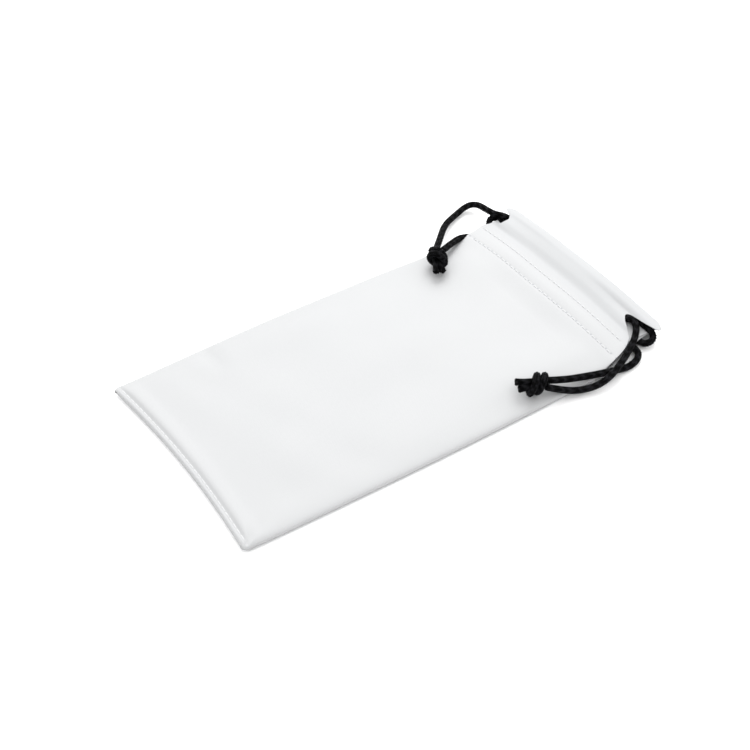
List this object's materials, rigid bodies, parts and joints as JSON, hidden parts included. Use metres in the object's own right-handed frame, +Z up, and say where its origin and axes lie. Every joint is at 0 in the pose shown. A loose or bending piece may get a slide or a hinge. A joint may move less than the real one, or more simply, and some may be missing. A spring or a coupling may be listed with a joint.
{
  "type": "drawstring spectacles pouch",
  "caption": "Soft flat drawstring pouch for spectacles: stitched cloth bag with cord tunnels at the mouth and knotted cords at both sides.",
  "frame": {"origin": "middle of the pouch's footprint, on the surface it lies on", "axes": "+X from the closed end to the mouth, +Z up through the front panel, +Y towards the side where the far cord is knotted"},
  "size_m": [0.18, 0.1124, 0.0134],
  "materials": {
    "cloth": "smooth matt white microfibre knit",
    "thread": "white polyester sewing thread",
    "cord": "black round braided polyester cord with a faint sheen"
  },
  "bodies": {
    "pouch": {"back_panel": "cloth", "front_panel": "cloth", "bottom_seam": "cloth", "front_tunnel": "cloth", "back_tunnel": "cloth", "front_hem_stitches": "thread", "front_tunnel_stitches": "thread", "back_hem_stitches": "thread", "back_tunnel_stitches": "thread", "bottom_seam_stitches": "thread"},
    "near_edge": {"near_side_seam": "cloth"},
    "far_edge": {"far_side_seam": "cloth"},
    "near_cord": {"near_cord_loop": "cord", "near_cord_upper_leg": "cord", "near_cord_lower_leg": "cord", "near_knot": "cord", "near_cord_tails": "cord"},
    "far_cord": {"far_cord_loop": "cord", "far_cord_upper_leg": "cord", "far_cord_lower_leg": "cord", "far_knot": "cord", "far_cord_tails": "cord"}
  },
  "joints": [
    {"name": "near_cord_pull", "type": "slide", "parent": "pouch", "child": "near_cord", "axis": [0, -1, 0], "range_m": [0, 0.026]},
    {"name": "far_cord_pull", "type": "slide", "parent": "pouch", "child": "far_cord", "axis": [0, 1, 0], "range_m": [0, 0.026]},
    {"name": "far_edge_gather", "type": "hinge", "parent": "pouch", "child": "far_edge", "pos_m": [-0.08525, 0.0448, 0], "axis": [0, 0, -1], "range_deg": [0, 9], "deforming": ["front_panel", "back_panel", "front_tunnel", "back_tunnel", "front_hem_stitches", "front_tunnel_stitches", "back_hem_stitches", "back_tunnel_stitches"]},
    {"name": "near_edge_gather", "type": "hinge", "parent": "pouch", "child": "near_edge", "pos_m": [-0.08525, -0.0448, 0], "axis": [0, 0, 1], "range_deg": [0, 9]}
  ],
  "couplings": [
    {"joint": "far_edge_gather", "follows": "near_cord_pull", "rad_per_m": 5.95},
    {"joint": "near_edge_gather", "follows": "far_cord_pull", "rad_per_m": 5.95}
  ]
}
